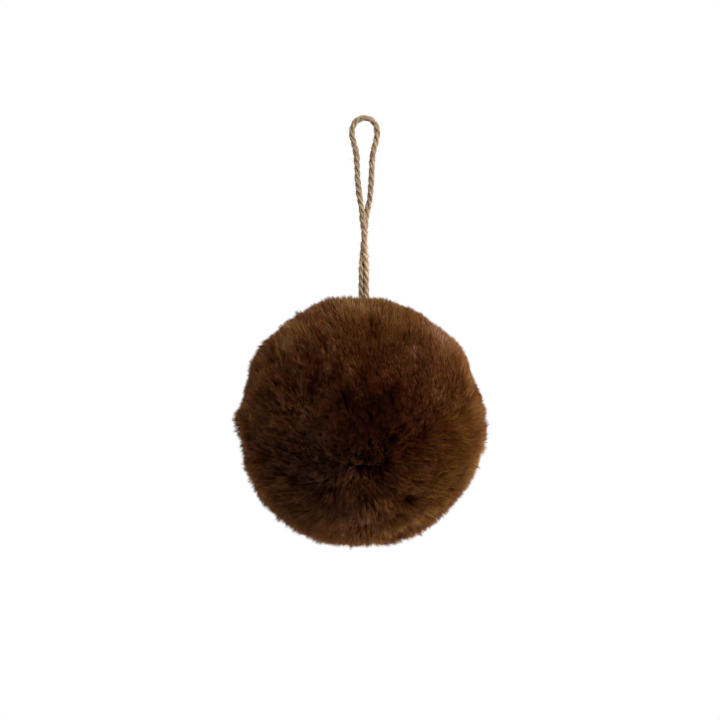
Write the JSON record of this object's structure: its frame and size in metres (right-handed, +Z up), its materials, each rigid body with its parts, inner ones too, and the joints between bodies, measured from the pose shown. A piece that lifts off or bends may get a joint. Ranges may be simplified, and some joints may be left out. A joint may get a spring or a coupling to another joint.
{
  "type": "hanging pom pom",
  "caption": "Round clipped faux-fur pom pom hanging on a loop of jute twine, with a small flat spot underneath.",
  "frame": {"origin": "inner top of the twine loop's crown, where a hook, peg or branch carries it", "axes": "+Z up along the hanging loop, -Y towards the front of the ball, +X to the right of the front view"},
  "size_m": [0.1015, 0.1002, 0.172],
  "materials": {
    "faux_fur": "dense clipped acrylic pile, dark brown at the roots and golden brown at the tips, matt",
    "jute_twine": "natural jute, plied twine, matt and hairy"
  },
  "bodies": {
    "root": {"fur_ball": "faux_fur", "hanging_loop": "jute_twine"}
  },
  "joints": []
}
